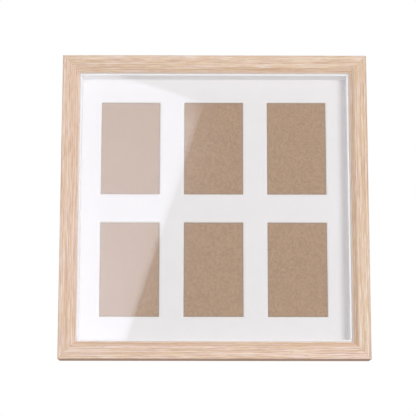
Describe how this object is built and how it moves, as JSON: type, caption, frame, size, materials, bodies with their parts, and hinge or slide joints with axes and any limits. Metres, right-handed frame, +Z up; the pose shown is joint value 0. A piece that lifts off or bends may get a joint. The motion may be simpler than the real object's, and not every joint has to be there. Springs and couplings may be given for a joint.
{
  "type": "collage photo frame",
  "caption": "Deep square collage frame with a pale oak moulding, glass, white spacers, a bevelled white mat with photo windows, a brown backing board, turn buttons and D-ring hangers.",
  "frame": {"origin": "middle of the bottom rail's underside, on the surface that the frame stands on", "axes": "+Z up, +X to the right as seen from the front, +Y from the front to the back"},
  "size_m": [0.455, 0.0429, 0.455],
  "materials": {
    "oak": "pale oak grain, satin",
    "white_strip": "matt white wrap",
    "white_mat": "matt white board",
    "fibreboard": "bare brown fibreboard",
    "picture_glass": "clear float glass",
    "zinc_steel": "zinc plated",
    "nickel_steel": "nickel plated",
    "clear_rubber": "soft, milky"
  },
  "bodies": {
    "frame": {"top_rail": "oak", "bottom_rail": "oak", "left_rail": "oak", "right_rail": "oak", "corner_v_nails": "zinc_steel", "glass_pane": "picture_glass", "top_spacer": "white_strip", "bottom_spacer": "white_strip", "left_spacer": "white_strip", "right_spacer": "white_strip", "mat_board": "white_mat", "turn_button_screws": "zinc_steel", "hanger_strap_left": "nickel_steel", "hanger_strap_right": "nickel_steel", "hanger_screws": "zinc_steel", "wall_bumpers": "clear_rubber"},
    "back_panel": {"backing_board": "fibreboard"},
    "turn_button_1": {"turn_button_1": "zinc_steel"},
    "turn_button_2": {"turn_button_2": "zinc_steel"},
    "turn_button_3": {"turn_button_3": "zinc_steel"},
    "turn_button_4": {"turn_button_4": "zinc_steel"},
    "turn_button_5": {"turn_button_5": "zinc_steel"},
    "turn_button_6": {"turn_button_6": "zinc_steel"},
    "turn_button_7": {"turn_button_7": "zinc_steel"},
    "turn_button_8": {"turn_button_8": "zinc_steel"},
    "hanger_ring_left": {"hanger_ring_left": "nickel_steel"},
    "hanger_ring_right": {"hanger_ring_right": "nickel_steel"}
  },
  "joints": [
    {"name": "turn_button_1_turn", "type": "hinge", "parent": "frame", "child": "turn_button_1", "pos_m": [0.09, 0.0196, 0.011], "axis": [0, 1, 0], "range_deg": [0, 90]},
    {"name": "turn_button_2_turn", "type": "hinge", "parent": "frame", "child": "turn_button_2", "pos_m": [-0.09, 0.0196, 0.011], "axis": [0, -1, 0], "range_deg": [0, 90]},
    {"name": "turn_button_3_turn", "type": "hinge", "parent": "frame", "child": "turn_button_3", "pos_m": [0.2165, 0.0196, 0.3175], "axis": [0, 1, 0], "range_deg": [0, 90]},
    {"name": "turn_button_4_turn", "type": "hinge", "parent": "frame", "child": "turn_button_4", "pos_m": [0.2165, 0.0196, 0.1375], "axis": [0, -1, 0], "range_deg": [0, 90]},
    {"name": "turn_button_5_turn", "type": "hinge", "parent": "frame", "child": "turn_button_5", "pos_m": [-0.09, 0.0196, 0.444], "axis": [0, 1, 0], "range_deg": [0, 90]},
    {"name": "turn_button_6_turn", "type": "hinge", "parent": "frame", "child": "turn_button_6", "pos_m": [0.09, 0.0196, 0.444], "axis": [0, -1, 0], "range_deg": [0, 90]},
    {"name": "turn_button_7_turn", "type": "hinge", "parent": "frame", "child": "turn_button_7", "pos_m": [-0.2165, 0.0196, 0.1375], "axis": [0, 1, 0], "range_deg": [0, 90]},
    {"name": "turn_button_8_turn", "type": "hinge", "parent": "frame", "child": "turn_button_8", "pos_m": [-0.2165, 0.0196, 0.3175], "axis": [0, -1, 0], "range_deg": [0, 90]},
    {"name": "hanger_ring_left_swing", "type": "hinge", "parent": "frame", "child": "hanger_ring_left", "pos_m": [-0.2175, 0.0216, 0.352], "axis": [1, 0, 0], "range_deg": [0, 180]},
    {"name": "hanger_ring_right_swing", "type": "hinge", "parent": "frame", "child": "hanger_ring_right", "pos_m": [0.2175, 0.0216, 0.352], "axis": [1, 0, 0], "range_deg": [0, 180]},
    {"name": "back_panel_lift_out", "type": "slide", "parent": "frame", "child": "back_panel", "axis": [0, 1, 0], "range_m": [0, 0.06]}
  ]
}
